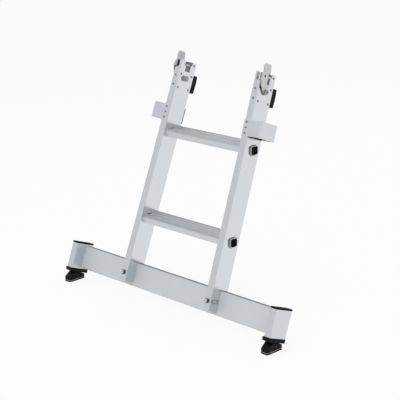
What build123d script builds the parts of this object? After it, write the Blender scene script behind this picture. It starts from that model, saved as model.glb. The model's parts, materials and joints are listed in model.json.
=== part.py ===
from build123d import *
import os
from math import cos, radians, sin, tan

# Base section of a sectional window cleaning ladder, standing at its working lean.
# X runs across the ladder, +Y towards the wall it leans on and +Z up, in millimetres.
# Heights along a stile count from its lower end, drops from its upper end downwards,
# depths from its front face to the rear.
# Right-hand pieces are drawn once and mirrored for the left.

# Stance
lean_angle = 20
taper_angle = 1.44
base_height = 60.5

# Stiles
bottom_width = 390
stile_width = 24
stile_depth = 70
stile_wall = 2
stile_corner = 3
stile_inner_corner = 1.2
stile_length = 724
slide_fit = 0.15

# Steps with their core tubes
upper_step_drop = 227
step_pitch = 280
step_setback = 5
step_depth = 69
tread_thickness = 4
front_lip = 21.5
rear_lip = 14
lip_thickness = 3
groove_count = 13
groove_width = 2.2
groove_depth = 1
core_setback = 31
core_width = 26
core_height = 24.5
core_wall = 2.5
core_corner = 5
core_inner_corner = 2.5
core_reach = 5.2
swage_rim = 2
swage_length = 3
plug_plate = 1.5
plug_length = 14
relief_width = 18
relief_length = 4

# Crossbeam and its bolts
beam_length = 836
beam_height = 75.5
beam_depth = 30
beam_drop = 10.5
beam_wall = 2.5
beam_corner = 4
beam_inner_corner = 1.5
bolt_rise = 2
bolt_radius = 4
bolt_play = 0.2
bolt_head = 5.3
hex_size = 13
washer_radius = 8
washer_thickness = 1.6
nut_height = 6.5
dome_radius = 5.8
sleeve_radius = 7
slot_length = 32
slot_width = 12
slot_depth = 21

# End tubes with their caps
tube_width = 24
tube_depth = 75
tube_overhang = 5
tube_rise = 5
tube_drop = 3
tube_wall = 2.5
tube_corner = 5
tube_inner_corner = 2.5
cap_thickness = 4.7
cap_lip = 0.8
cap_round = 1
skirt_length = 18
skirt_wall = 2.5

# Feet
collar_height = 11.5
collar_lip = 1.8
collar_shift = 1.7
collar_rake = 6
pivot_depth = 33
pivot_height = 15
pin_radius = 3.5
pin_fit = 0.05
lug_radius = 7
lug_width = 12
web_front = 14
web_rear = 42
lug_play = 0.4
shoe_width = 28
sole_width = 28.5
sole_corner = 6
sole_toe = 38
sole_heel = 27.5
toe_height = 12
heel_height = 14.2
neck_ahead = 15.5
neck_behind = 20
shoe_gap = 2.6
slot_ahead = 19
slot_behind = 17
sole_plate_thickness = 1.2
tread_rubber = 4.8
tread_groove = 3
tread_groove_depth = 1.6
tread_groove_count = 7

# Guide pockets for the stiles of the next section
pocket_drop = 146.5
pocket_height = 50
pocket_reach = 45.5
pocket_sheet = 3
pocket_inner_bend = 2
pocket_flange_gap = 1.5
pocket_rivet_pitch = 17

# Rivets
rivet_head = 3.6
rivet_head_height = 1.6
rivet_radius = 2
rivet_fit = 0.1
rivet_grip = 6

# Stile heads with the seat for the next section's bar
block_drop = 102
block_corner = 1.5
notch_drop = 34
notch_front = 18
notch_width = 27.5
cavity_start = 4.6
cavity_depth = 9
recess_drop = 27
recess_start = -4
spring_room = 6.5
ledge_drop = 11
ledge_depth = 5
head_rivet_front = 11.5
head_rivet_rear = 59
low_rivet_drop = 88
high_rivet_drop = 45
front_low_drop = 81.5
front_high_drop = 51.5
prong_rivet_drop = 9.5

# Latch levers
latch_pivot_depth = 32
latch_pivot_drop = 56
pivot_radius = 5
pivot_fit = 0.05
lever_gap = 1
lever_thickness = 4
eye_radius = 10.5
hip_front = 5
hip_drop = 44
belly_front = -3
belly_drop = 23
shoulder_front = 1
lever_rear = 27.5
window_drop = 36
lip_front = 25
lip_rear = 43
lip_bottom_drop = 15
lip_top_drop = 10
nose_play = 0.5
nose_rear = 47
nose_front = 29
nose_tip_drop = 6
nose_top_drop = 2.5
nose_flat = 14
guard_inside = 4.6
guard_thickness = 5
guard_front = 4
guard_lap = 1
guard_sweep = 43.6
tab_front = 5
tab_rear = 35.5
tab_drop = 2
tab_rise = 26
tab_advance = 4
tab_round = 8
lock_depth = 13
lock_drop = 11.5
lock_radius = 2.8
lock_tip_radius = 1.8
head_radius = 8
head_height = 4.5
head_chamfer = 1
socket_size = 6
socket_depth = 2.5
bolt_end = 1.5
head_play = 0.1
pivot_nut_size = 17
pivot_nut_height = 8
pivot_washer_radius = 9
pivot_washer_thickness = 0.8

# Leaf springs of the latches
leaf_thickness = 0.8
leaf_width = 8
leaf_drop = 90
leaf_bend_drop = 37
leaf_bend_round = 8
leaf_tip_drop = 13
leaf_gap = 0.4

# Rear pads
pad_bottom_drop = 95
pad_top_drop = 38
pad_thickness = 17.5
pad_bow = 2
pad_width = 20
pad_round = 4
pad_screw_inset = 14
screw_head = 4.5
screw_head_height = 3
screw_radius = 2.4
screw_sink = 5
screw_grip = 8

lean = radians(lean_angle)
taper = radians(taper_angle)
upper_step_height = stile_length - upper_step_drop
step_heights = {"lower": upper_step_height - step_pitch, "upper": upper_step_height}
beam_front = stile_depth - beam_depth
beam_bottom = -beam_drop
beam_top = beam_height - beam_drop
beam_middle = (beam_top + beam_bottom) / 2
bolt_height = beam_middle + bolt_rise
tube_bottom = beam_bottom - tube_drop
tube_top = beam_top + tube_rise
tube_x = beam_length / 2 + tube_width / 2
collar_bottom = tube_bottom - collar_height
collar_front = -tube_overhang - collar_lip - collar_shift
notch_rear = notch_front + notch_width
lever_inside = stile_width / 2 + lever_gap
lever_outside = lever_inside + lever_thickness
inner_wall = -stile_width / 2 + stile_wall

# Heights along the stile, from the drops below its upper end
block_bottom = stile_length - block_drop
notch_floor = stile_length - notch_drop
recess_floor = stile_length - recess_drop
ledge_height = stile_length - ledge_drop
head_rivet_low = stile_length - low_rivet_drop
head_rivet_high = stile_length - high_rivet_drop
front_rivet_low = stile_length - front_low_drop
front_rivet_high = stile_length - front_high_drop
prong_rivet_height = stile_length - prong_rivet_drop
latch_pivot_height = stile_length - latch_pivot_drop
hip_height = stile_length - hip_drop
belly_height = stile_length - belly_drop
bar_window = stile_length - window_drop
lip_bottom = stile_length - lip_bottom_drop
lip_top = stile_length - lip_top_drop
nose_tip = stile_length - nose_tip_drop
nose_top = stile_length - nose_top_drop
tab_bottom = stile_length - tab_drop
lock_height = stile_length - lock_drop
leaf_bottom = stile_length - leaf_drop
leaf_bend = stile_length - leaf_bend_drop
leaf_tip_height = stile_length - leaf_tip_drop
pad_bottom = stile_length - pad_bottom_drop
pad_top = stile_length - pad_top_drop
tab_top = stile_length + tab_rise
pocket_bottom = stile_length - pocket_drop - pocket_height

# The pivots of the feet, as a height along the stiles and as a distance behind the stile ends
pivot_along = (pivot_height - base_height + pivot_depth * sin(lean)) / cos(lean)
pivot_behind = pivot_depth * cos(lean) + pivot_along * sin(lean)
overall_front = pivot_behind - sole_toe
overall_rear = stile_depth * cos(lean) + stile_length * sin(lean)

# Planes: sections of the ladder, of the right stile and of the right foot
ladder = Plane(
    origin=(0, -(overall_front + overall_rear) / 2, base_height),
    x_dir=(1, 0, 0),
    z_dir=(0, sin(lean), cos(lean)),
)
across = Plane(ladder.origin, x_dir=ladder.y_dir, z_dir=ladder.x_dir)
stile_plane = Plane(
    origin=ladder.from_local_coords(((bottom_width - stile_width) / 2, 0, 0)),
    x_dir=ladder.x_dir * cos(taper) + ladder.z_dir * sin(taper),
    z_dir=ladder.z_dir * cos(taper) - ladder.x_dir * sin(taper),
)
bolt_plane = Plane(
    ladder.from_local_coords((0, 0, bolt_height)), x_dir=ladder.x_dir, z_dir=ladder.y_dir
)
bolt_x = (bottom_width - stile_width) / 2 - bolt_height * tan(taper)
tube_plane = Plane(
    ladder.from_local_coords((tube_x, tube_depth / 2 - tube_overhang, 0)),
    x_dir=ladder.x_dir,
    z_dir=ladder.z_dir,
)
lug_plane = Plane(
    ladder.from_local_coords((tube_x, 0, 0)), x_dir=ladder.y_dir, z_dir=ladder.x_dir
)
foot_plane = Plane(
    origin=(tube_x, ladder.origin.Y + pivot_behind, 0), x_dir=(0, 1, 0), z_dir=(1, 0, 0)
)
ground_plane = Plane(origin=foot_plane.origin, x_dir=(1, 0, 0), z_dir=(0, 0, 1))


# Plane beside the right stile: depth runs along its x, height along its y
def side_plane(x):
    return Plane(
        stile_plane.from_local_coords((x, 0, 0)), x_dir=stile_plane.y_dir, z_dir=stile_plane.x_dir
    )


# Plane along the front (facing -1) or the rear (facing 1) of the right stile
def face_plane(depth, facing):
    return Plane(
        stile_plane.from_local_coords((0, depth, 0)),
        x_dir=stile_plane.x_dir * -facing,
        z_dir=stile_plane.y_dir * facing,
    )


# Upright plane through the front edge of a level tread, rearwards along its x
def step_plane(height):
    edge = ladder.from_local_coords((0, step_setback, height))
    return Plane(edge, x_dir=(0, 1, 0), z_dir=(1, 0, 0))


# How far the core tube of a step reaches from the middle of the ladder
def core_end(height):
    drop = tread_thickness + core_height / 2
    along = height + core_setback * sin(lean) - drop * cos(lean)
    return bottom_width / 2 - along * tan(taper) + core_reach


def save(part, name):
    part.label = name
    export_step(part, f"parts/{name}.step")


def save_pair(part, name):
    save(part, f"right_{name}")
    with BuildPart() as left:
        mirror(part, about=Plane.YZ)
    save(left.part, f"left_{name}")


def both_sides(part):
    with BuildPart() as pair:
        add(part)
        mirror(part, about=Plane.YZ)
    return pair.part


os.makedirs("parts", exist_ok=True)

core_centre = (core_setback, -tread_thickness - core_height / 2)
side_rivets = [
    (head_rivet_front, head_rivet_low),
    (head_rivet_rear, head_rivet_low),
    (head_rivet_rear, head_rivet_high),
    (head_rivet_rear, prong_rivet_height),
]
inner_rivets = side_rivets + [(head_rivet_front, head_rivet_high)]
front_rivets = [(0, front_rivet_low), (0, front_rivet_high)]
pad_screws_at = [(0, pad_bottom + pad_screw_inset), (0, pad_top - pad_screw_inset)]
pocket_middle = pocket_bottom + pocket_height / 2
pocket_rivets_at = [(0, pocket_middle + pocket_rivet_pitch * row) for row in (-1, 0, 1)]

# Stile: tube with the seat of the crossbeam, the holes of the steps and the latch notch
with BuildPart() as stile:
    with BuildSketch(stile_plane.offset(-stile_width)):
        with Locations((0, stile_depth / 2)):
            RectangleRounded(stile_width, stile_depth, stile_corner)
            RectangleRounded(
                stile_width - 2 * stile_wall,
                stile_depth - 2 * stile_wall,
                stile_inner_corner,
                mode=Mode.SUBTRACT,
            )
    extrude(amount=stile_width + stile_length)
    split(bisect_by=ladder, keep=Keep.TOP)
    with BuildSketch(ladder):
        with Locations((bottom_width / 2, beam_front)):
            Rectangle(4 * stile_width, 2 * beam_depth, align=(Align.CENTER, Align.MIN))
    extrude(amount=beam_top, mode=Mode.SUBTRACT)
    for height in step_heights.values():
        with BuildSketch(step_plane(height)):
            with Locations(core_centre):
                RectangleRounded(
                    core_width + 2 * slide_fit, core_height + 2 * slide_fit, core_corner
                )
        extrude(amount=bottom_width, mode=Mode.SUBTRACT)
    with BuildSketch(side_plane(0)):
        with Locations((notch_front, notch_floor)):
            Rectangle(notch_width, stile_length, align=Align.MIN)
        with Locations((notch_rear, ledge_height)):
            Rectangle(ledge_depth, stile_length, align=Align.MIN)
        with Locations((latch_pivot_depth, latch_pivot_height)):
            Circle(pivot_radius + bolt_play)
    extrude(amount=stile_width, both=True, mode=Mode.SUBTRACT)
    with BuildSketch(side_plane(recess_start)):
        with Locations((-stile_wall, recess_floor)):
            Rectangle(notch_front + 2 * stile_wall, stile_length, align=Align.MIN)
        with Locations((slot_depth, bolt_height)):
            SlotOverall(slot_length, slot_width)
        with Locations(*side_rivets):
            Circle(rivet_radius + rivet_fit)
    extrude(amount=2 * stile_width, mode=Mode.SUBTRACT)
    with BuildSketch(side_plane(0)):
        with Locations(*inner_rivets):
            Circle(rivet_radius + rivet_fit)
        with Locations((lock_depth, lock_height)):
            Circle(lock_tip_radius)
    extrude(amount=-stile_width, mode=Mode.SUBTRACT)
    with BuildSketch(face_plane(stile_depth / 2, -1)):
        with Locations(*front_rivets, *pocket_rivets_at):
            Circle(rivet_radius + rivet_fit)
    extrude(amount=stile_depth, mode=Mode.SUBTRACT)
    with BuildSketch(face_plane(stile_depth / 2, 1)):
        with Locations(*pocket_rivets_at):
            Circle(rivet_radius + rivet_fit)
        with Locations(*pad_screws_at):
            Circle(screw_radius + rivet_fit)
    extrude(amount=stile_depth, mode=Mode.SUBTRACT)
    with BuildSketch(bolt_plane):
        with Locations((bolt_x, 0)):
            Circle(bolt_radius + bolt_play)
    extrude(amount=beam_front, both=True, mode=Mode.SUBTRACT)
save_pair(stile.part, "stile")

# Steps: grooved tread with lips, joined to a core tube that is swaged outside both stiles
groove_pitch = (step_depth - 2 * lip_thickness) / groove_count
for name, height in step_heights.items():
    profile_plane = step_plane(height)
    with BuildPart() as swage:
        with BuildSketch(profile_plane):
            with Locations(core_centre):
                RectangleRounded(
                    core_width + 2 * swage_rim, core_height + 2 * swage_rim, core_corner + swage_rim
                )
        extrude(amount=core_end(height) - core_reach + swage_length)
        split(bisect_by=side_plane(stile_width / 2), keep=Keep.TOP)
    with BuildPart() as relief:
        with BuildSketch(profile_plane):
            with Locations((core_setback, 0)):
                Rectangle(relief_width, 2 * tread_thickness)
        extrude(amount=bottom_width)
        split(bisect_by=side_plane(-stile_width / 2 - relief_length), keep=Keep.TOP)
    with BuildPart() as step:
        with BuildSketch(profile_plane):
            Rectangle(step_depth, tread_thickness, align=(Align.MIN, Align.MAX))
            Rectangle(lip_thickness, front_lip, align=(Align.MIN, Align.MAX))
            with Locations((step_depth, 0)):
                Rectangle(lip_thickness, rear_lip, align=Align.MAX)
            with Locations((step_depth / 2, 0)):
                with GridLocations(groove_pitch, 0, groove_count, 1):
                    Rectangle(groove_width, 2 * groove_depth, mode=Mode.SUBTRACT)
        extrude(amount=bottom_width)
        split(bisect_by=side_plane(-stile_width / 2), keep=Keep.BOTTOM)
        add(relief.part, mode=Mode.SUBTRACT)
        with BuildSketch(profile_plane):
            with Locations(core_centre):
                RectangleRounded(core_width, core_height, core_corner)
        extrude(amount=core_end(height))
        add(swage.part)
        with BuildSketch(profile_plane):
            with Locations(core_centre):
                RectangleRounded(
                    core_width - 2 * core_wall, core_height - 2 * core_wall, core_inner_corner
                )
        extrude(amount=bottom_width, mode=Mode.SUBTRACT)
        mirror(about=Plane.YZ)
    save(step.part, f"{name}_step")
    with BuildPart() as plug:
        with BuildSketch(profile_plane.offset(core_end(height))):
            with Locations(core_centre):
                RectangleRounded(core_width, core_height, core_corner)
        extrude(amount=plug_plate)
        with BuildSketch(profile_plane.offset(core_end(height))):
            with Locations(core_centre):
                RectangleRounded(
                    core_width - 2 * core_wall - 2 * slide_fit,
                    core_height - 2 * core_wall - 2 * slide_fit,
                    core_inner_corner,
                )
        extrude(amount=-plug_length)
    save(both_sides(plug.part), f"{name}_step_plugs")

# Crossbeam in the rear seats of the stiles
with BuildPart() as crossbeam:
    with BuildSketch(across):
        with Locations((beam_front + beam_depth / 2, beam_middle)):
            RectangleRounded(beam_depth, beam_height, beam_corner)
            RectangleRounded(
                beam_depth - 2 * beam_wall,
                beam_height - 2 * beam_wall,
                beam_inner_corner,
                mode=Mode.SUBTRACT,
            )
    extrude(amount=beam_length / 2, both=True)
    with BuildSketch(bolt_plane):
        with Locations((bolt_x, 0), (-bolt_x, 0)):
            Circle(bolt_radius + bolt_play)
    extrude(amount=2 * stile_depth, mode=Mode.SUBTRACT)
save(crossbeam.part, "crossbeam")

# Through bolts of the crossbeam with sleeves, washers and domed nuts
with BuildPart() as bolt:
    with BuildSketch(bolt_plane.offset(stile_depth + washer_thickness)):
        with Locations((bolt_x, 0)):
            RegularPolygon(hex_size / 2, 6, major_radius=False)
    extrude(amount=bolt_head)
    with BuildSketch(bolt_plane.offset(stile_depth + washer_thickness)):
        with Locations((bolt_x, 0)):
            Circle(bolt_radius)
    extrude(amount=-(stile_depth + 2 * washer_thickness + nut_height))
save(both_sides(bolt.part), "beam_bolts")

with BuildPart() as washer:
    for depth in (-washer_thickness, stile_depth):
        with BuildSketch(bolt_plane.offset(depth)):
            with Locations((bolt_x, 0)):
                Circle(washer_radius)
                Circle(bolt_radius + bolt_play, mode=Mode.SUBTRACT)
        extrude(amount=washer_thickness)
save(both_sides(washer.part), "beam_washers")

with BuildPart() as nut:
    with BuildSketch(bolt_plane.offset(-washer_thickness)):
        with Locations((bolt_x, 0)):
            RegularPolygon(hex_size / 2, 6, major_radius=False)
    extrude(amount=-nut_height)
    with Locations(bolt_plane.offset(-washer_thickness - nut_height).location * Pos(bolt_x, 0)):
        Sphere(dome_radius)
    with BuildSketch(bolt_plane.offset(-washer_thickness)):
        with Locations((bolt_x, 0)):
            Circle(bolt_radius + pivot_fit)
    extrude(amount=-nut_height - pivot_fit, mode=Mode.SUBTRACT)
save(both_sides(nut.part), "beam_nuts")

sleeve_spans = {
    "stile_sleeves": (stile_wall, beam_front),
    "beam_sleeves": (beam_front + beam_wall, stile_depth - beam_wall),
}
for name, (start, end) in sleeve_spans.items():
    with BuildPart() as sleeve:
        with BuildSketch(bolt_plane.offset(start)):
            with Locations((bolt_x, 0)):
                Circle(sleeve_radius)
                Circle(bolt_radius + bolt_play, mode=Mode.SUBTRACT)
        extrude(amount=end - start)
    save(both_sides(sleeve.part), name)

# End tube
with BuildPart() as end_tube:
    with BuildSketch(tube_plane.offset(tube_bottom)):
        RectangleRounded(tube_width, tube_depth, tube_corner)
        RectangleRounded(
            tube_width - 2 * tube_wall,
            tube_depth - 2 * tube_wall,
            tube_inner_corner,
            mode=Mode.SUBTRACT,
        )
    extrude(amount=tube_top - tube_bottom)
save_pair(end_tube.part, "end_tube")

skirt_width = tube_width - 2 * tube_wall - 2 * slide_fit
skirt_depth = tube_depth - 2 * tube_wall - 2 * slide_fit

# Cap on top of the end tube, with a hollow skirt inside it
with BuildPart() as cap:
    with BuildSketch(tube_plane.offset(tube_top)):
        RectangleRounded(tube_width + 2 * cap_lip, tube_depth + 2 * cap_lip, tube_corner)
    extrude(amount=cap_thickness)
    chamfer(cap.faces().sort_by(Axis(tube_plane.origin, tube_plane.z_dir))[-1].edges(), cap_round)
    with BuildSketch(tube_plane.offset(tube_top)):
        RectangleRounded(skirt_width, skirt_depth, tube_inner_corner)
        Rectangle(skirt_width - 2 * skirt_wall, skirt_depth - 2 * skirt_wall, mode=Mode.SUBTRACT)
    extrude(amount=-skirt_length)
save_pair(cap.part, "tube_cap")

# Collar of the foot, with the lug that carries the swivel pin
with BuildPart() as collar:
    with BuildSketch(tube_plane.offset(collar_bottom)):
        with Locations((0, -collar_shift)):
            RectangleRounded(tube_width + 2 * collar_lip, tube_depth + 2 * collar_lip, tube_corner)
    extrude(amount=collar_height)
    with BuildSketch(lug_plane):
        Polygon(
            (collar_front, tube_bottom),
            (collar_front, collar_bottom),
            (collar_front + collar_rake, collar_bottom),
            align=None,
        )
    extrude(amount=tube_width, both=True, mode=Mode.SUBTRACT)
    with BuildSketch(tube_plane.offset(tube_bottom)):
        RectangleRounded(skirt_width, skirt_depth, tube_inner_corner)
        Rectangle(skirt_width - 2 * skirt_wall, skirt_depth - 2 * skirt_wall, mode=Mode.SUBTRACT)
    extrude(amount=skirt_length)
    with BuildSketch(lug_plane):
        with BuildLine():
            CenterArc((pivot_depth, pivot_along), lug_radius, 0, 360)
            Line((web_front, collar_bottom), (web_rear, collar_bottom))
        make_hull()
    extrude(amount=lug_width / 2, both=True)
    with BuildSketch(lug_plane):
        with Locations((pivot_depth, pivot_along)):
            Circle(pin_radius + pin_fit)
    extrude(amount=lug_width, both=True, mode=Mode.SUBTRACT)
save_pair(collar.part, "foot_collar")

sole_middle = (sole_heel - sole_toe) / 2
sole_length = sole_heel + sole_toe
shoe_bottom = tread_rubber + sole_plate_thickness
neck_middle = pivot_height + (collar_bottom - pivot_along - shoe_gap) / cos(lean)

# Shoe of the foot: level wedge, its sloping top follows the collar, with a pocket for the lug
with BuildPart() as shoe:
    with BuildSketch(foot_plane):
        Polygon(
            (-sole_toe, shoe_bottom),
            (sole_heel, shoe_bottom),
            (sole_heel, heel_height),
            (neck_behind, neck_middle - neck_behind * tan(lean)),
            (-neck_ahead, neck_middle + neck_ahead * tan(lean)),
            (-sole_toe, toe_height),
            align=None,
        )
    extrude(amount=shoe_width / 2, both=True)
    with BuildSketch(ground_plane):
        with Locations((0, sole_middle)):
            RectangleRounded(shoe_width, sole_length, sole_corner)
    extrude(amount=2 * neck_middle, mode=Mode.INTERSECT)
    with BuildSketch(foot_plane):
        with Locations((-slot_ahead, 0)):
            Rectangle(slot_ahead + slot_behind, 2 * neck_middle, align=Align.MIN)
    extrude(amount=lug_width / 2 + lug_play, both=True, mode=Mode.SUBTRACT)
    with BuildSketch(foot_plane):
        with Locations((0, pivot_height)):
            Circle(pin_radius + pin_fit)
    extrude(amount=shoe_width, both=True, mode=Mode.SUBTRACT)
save_pair(shoe.part, "foot_shoe")

with BuildPart() as sole_plate:
    with BuildSketch(ground_plane.offset(tread_rubber)):
        with Locations((0, sole_middle)):
            RectangleRounded(sole_width, sole_length, sole_corner)
    extrude(amount=sole_plate_thickness)
save_pair(sole_plate.part, "sole_plate")

with BuildPart() as tread:
    with BuildSketch(ground_plane):
        with Locations((0, sole_middle)):
            RectangleRounded(sole_width, sole_length, sole_corner)
    extrude(amount=tread_rubber)
    with BuildSketch(ground_plane):
        with Locations((0, sole_middle)):
            with GridLocations(0, sole_length / tread_groove_count, 1, tread_groove_count):
                Rectangle(2 * sole_width, tread_groove)
    extrude(amount=tread_groove_depth, mode=Mode.SUBTRACT)
save_pair(tread.part, "sole_tread")

with BuildPart() as pin:
    with BuildSketch(foot_plane):
        with Locations((0, pivot_height)):
            Circle(pin_radius)
    extrude(amount=shoe_width / 2 - lug_play, both=True)
save_pair(pin.part, "foot_pin")

# Guide pocket: sheet bent to a U round the front, the outside and the rear
with BuildPart() as pocket:
    with BuildSketch(stile_plane.offset(pocket_bottom)):
        with Locations((stile_width / 2 + pocket_reach, stile_depth / 2)):
            shell = Rectangle(
                stile_width + pocket_reach - pocket_flange_gap,
                stile_depth + 2 * pocket_sheet,
                align=(Align.MAX, Align.CENTER),
            )
        fillet(shell.vertices().group_by(Axis.X)[-1], pocket_inner_bend + pocket_sheet)
    extrude(amount=pocket_height)
    with BuildSketch(stile_plane.offset(pocket_bottom)):
        with Locations((stile_width / 2 + pocket_reach - pocket_sheet, stile_depth / 2)):
            hollow = Rectangle(
                2 * (stile_width + pocket_reach), stile_depth, align=(Align.MAX, Align.CENTER)
            )
        fillet(hollow.vertices().group_by(Axis.X)[-1], pocket_inner_bend)
    extrude(amount=pocket_height, mode=Mode.SUBTRACT)
    with BuildSketch(face_plane(stile_depth / 2, -1)):
        with Locations(*pocket_rivets_at):
            Circle(rivet_radius + rivet_fit)
    extrude(amount=stile_depth, both=True, mode=Mode.SUBTRACT)
save_pair(pocket.part, "guide_pocket")

with BuildPart() as pocket_rivets:
    for depth, facing in ((-pocket_sheet, -1), (stile_depth + pocket_sheet, 1)):
        with BuildSketch(face_plane(depth, facing)):
            with Locations(*pocket_rivets_at):
                Circle(rivet_head)
        extrude(amount=rivet_head_height)
        with BuildSketch(face_plane(depth, facing)):
            with Locations(*pocket_rivets_at):
                Circle(rivet_radius)
        extrude(amount=-(pocket_sheet + stile_wall + rivet_head_height))
save_pair(pocket_rivets.part, "pocket_rivets")

# Coupling block in the stile head: seat of the bar, rear prong hollowed on its outer side,
# and a lower front that leaves room for the leaf spring
block_front = stile_wall + leaf_thickness + slide_fit
block_rear = stile_depth - stile_wall - slide_fit
block_width = stile_width - 2 * stile_wall - 2 * slide_fit
with BuildPart() as block:
    with BuildSketch(stile_plane.offset(block_bottom)):
        with Locations((0, (block_front + block_rear) / 2)):
            RectangleRounded(block_width, block_rear - block_front, block_corner)
    extrude(amount=stile_length - block_bottom)
    with BuildSketch(side_plane(0)):
        with Locations((notch_rear, notch_floor)):
            Rectangle(stile_depth, stile_length, align=(Align.MAX, Align.MIN))
        with Locations((notch_front, notch_floor - spring_room)):
            Rectangle(stile_depth, stile_length, align=(Align.MAX, Align.MIN))
        with Locations((notch_rear, ledge_height)):
            Rectangle(ledge_depth, stile_length, align=Align.MIN)
        with Locations((latch_pivot_depth, latch_pivot_height)):
            Circle(pivot_radius + bolt_play)
    extrude(amount=stile_width, both=True, mode=Mode.SUBTRACT)
    with BuildSketch(side_plane(cavity_start)):
        with Locations((notch_rear, notch_floor)):
            Rectangle(cavity_depth, stile_length, align=Align.MIN)
    extrude(amount=stile_width, mode=Mode.SUBTRACT)
    with BuildSketch(side_plane(stile_width / 2)):
        with Locations(*side_rivets):
            Circle(rivet_radius + rivet_fit)
    extrude(amount=-(stile_wall + rivet_grip), mode=Mode.SUBTRACT)
    with BuildSketch(side_plane(-stile_width / 2)):
        with Locations(*inner_rivets):
            Circle(rivet_radius + rivet_fit)
    extrude(amount=stile_wall + rivet_grip, mode=Mode.SUBTRACT)
    with BuildSketch(face_plane(0, -1)):
        with Locations(*front_rivets):
            Circle(rivet_radius + rivet_fit)
    extrude(amount=-(block_front + rivet_grip), mode=Mode.SUBTRACT)
    with BuildSketch(face_plane(stile_depth, 1)):
        with Locations(*pad_screws_at):
            Circle(screw_radius + rivet_fit)
    extrude(amount=-(stile_wall + screw_grip), mode=Mode.SUBTRACT)
save_pair(block.part, "coupling_block")

# Blind rivets in the sides and the front of the stile head
with BuildPart() as head_rivets:
    for side, spots in ((1, side_rivets), (-1, inner_rivets)):
        with BuildSketch(side_plane(side * stile_width / 2)):
            with Locations(*spots):
                Circle(rivet_head)
        extrude(amount=side * rivet_head_height)
        with BuildSketch(side_plane(side * stile_width / 2)):
            with Locations(*spots):
                Circle(rivet_radius)
        extrude(amount=-side * (stile_wall + rivet_grip - slide_fit))
    with BuildSketch(face_plane(0, -1)):
        with Locations(*front_rivets):
            Circle(rivet_head)
    extrude(amount=rivet_head_height)
    with BuildSketch(face_plane(0, -1)):
        with Locations(*front_rivets):
            Circle(rivet_radius)
    extrude(amount=-(block_front + rivet_grip - slide_fit))
save_pair(head_rivets.part, "head_rivets")

# Leaf spring: riveted inside the front wall, its free end rests against the lip of the latch
leaf_line = stile_wall + leaf_thickness / 2
leaf_tip = lip_front - leaf_gap - leaf_thickness
with BuildPart() as leaf:
    with BuildSketch(side_plane(0)):
        with BuildLine():
            FilletPolyline(
                (leaf_line, leaf_bottom),
                (leaf_line, leaf_bend),
                (leaf_tip, leaf_tip_height),
                radius=leaf_bend_round,
            )
        trace(line_width=leaf_thickness)
    extrude(amount=leaf_width / 2, both=True)
    with BuildSketch(face_plane(0, -1)):
        with Locations(*front_rivets):
            Circle(rivet_radius + rivet_fit)
    extrude(amount=-block_front, mode=Mode.SUBTRACT)
save_pair(leaf.part, "latch_spring")

# Latch lever: plate with an eye, a window for the bar, a thumb tab and a lip over the notch
latch_pivot = (latch_pivot_depth, latch_pivot_height)
lip_inside = inner_wall + nose_play
with BuildPart() as lever:
    with BuildSketch(side_plane(lever_inside)):
        with BuildLine():
            CenterArc(latch_pivot, eye_radius, 0, 360)
            Polyline(
                (hip_front, hip_height),
                (belly_front, belly_height),
                (shoulder_front, tab_bottom),
                (lever_rear, tab_bottom),
            )
        make_hull()
        with Locations((lever_rear, bar_window)):
            Rectangle(stile_depth, tab_bottom - bar_window, align=Align.MIN, mode=Mode.SUBTRACT)
        tab = Polygon(
            (tab_front, tab_bottom),
            (tab_rear, tab_bottom),
            (tab_rear - tab_advance, tab_top),
            (tab_front - tab_advance, tab_top),
            align=None,
        )
        fillet(tab.vertices().group_by(Axis.Y)[-1], tab_round)
        with Locations(latch_pivot):
            Circle(pivot_radius + pivot_fit, mode=Mode.SUBTRACT)
        with Locations((lock_depth, lock_height)):
            Circle(lock_radius, mode=Mode.SUBTRACT)
    extrude(amount=lever_thickness)
    with BuildSketch(side_plane(lip_inside)):
        with Locations((lip_front, lip_bottom)):
            Rectangle(lip_rear - lip_front, lip_top - lip_bottom, align=Align.MIN)
    extrude(amount=lever_outside - lip_inside)
save_pair(lever.part, "latch_lever")

# Black moulding on the lip, behind the lever: a nose with a sloping end that lets the bar push
# the latch aside, and a guard inside the open front of the stile head, cut to clear it in the swing
with BuildPart() as nose:
    with BuildSketch(side_plane(lip_inside)):
        Polygon(
            (nose_front, lip_top),
            (nose_rear, lip_top),
            (nose_rear, nose_tip),
            (nose_front + nose_flat, nose_top),
            (nose_front, nose_top),
            align=None,
        )
    extrude(amount=lever_inside - nose_play - lip_inside)
    with BuildSketch(side_plane(guard_inside)):
        with Locations((guard_front, lip_top)):
            Rectangle(nose_front + guard_lap - guard_front, nose_top - lip_top, align=Align.MIN)
        with Locations((guard_front, notch_floor)):
            Rectangle(lip_front - nose_play - guard_front, lip_top - notch_floor, align=Align.MIN)
        with Locations(latch_pivot):
            Circle(guard_sweep, mode=Mode.SUBTRACT)
        with Locations((lock_depth, lock_height)):
            Circle(lock_radius, mode=Mode.SUBTRACT)
    extrude(amount=guard_thickness)
save_pair(nose.part, "latch_nose")

# Pivot of the latch: socket bolt from outside, washer behind the lever, nut inside the ladder
nut_face = -stile_width / 2
with BuildPart() as pivot_bolt:
    with BuildSketch(side_plane(lever_outside + head_play)):
        with Locations(latch_pivot):
            Circle(head_radius)
    extrude(amount=head_height)
    rim = pivot_bolt.faces().sort_by(Axis(stile_plane.origin, stile_plane.x_dir))[-1]
    chamfer(rim.edges(), head_chamfer)
    with BuildSketch(side_plane(lever_outside + head_play + head_height)):
        with Locations(latch_pivot):
            RegularPolygon(socket_size / 2, 6, major_radius=False)
    extrude(amount=-socket_depth, mode=Mode.SUBTRACT)
    with BuildSketch(side_plane(lever_outside + head_play)):
        with Locations(latch_pivot):
            Circle(pivot_radius)
    extrude(amount=nut_face - pivot_nut_height - bolt_end - lever_outside - head_play)
save_pair(pivot_bolt.part, "pivot_bolt")

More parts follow.
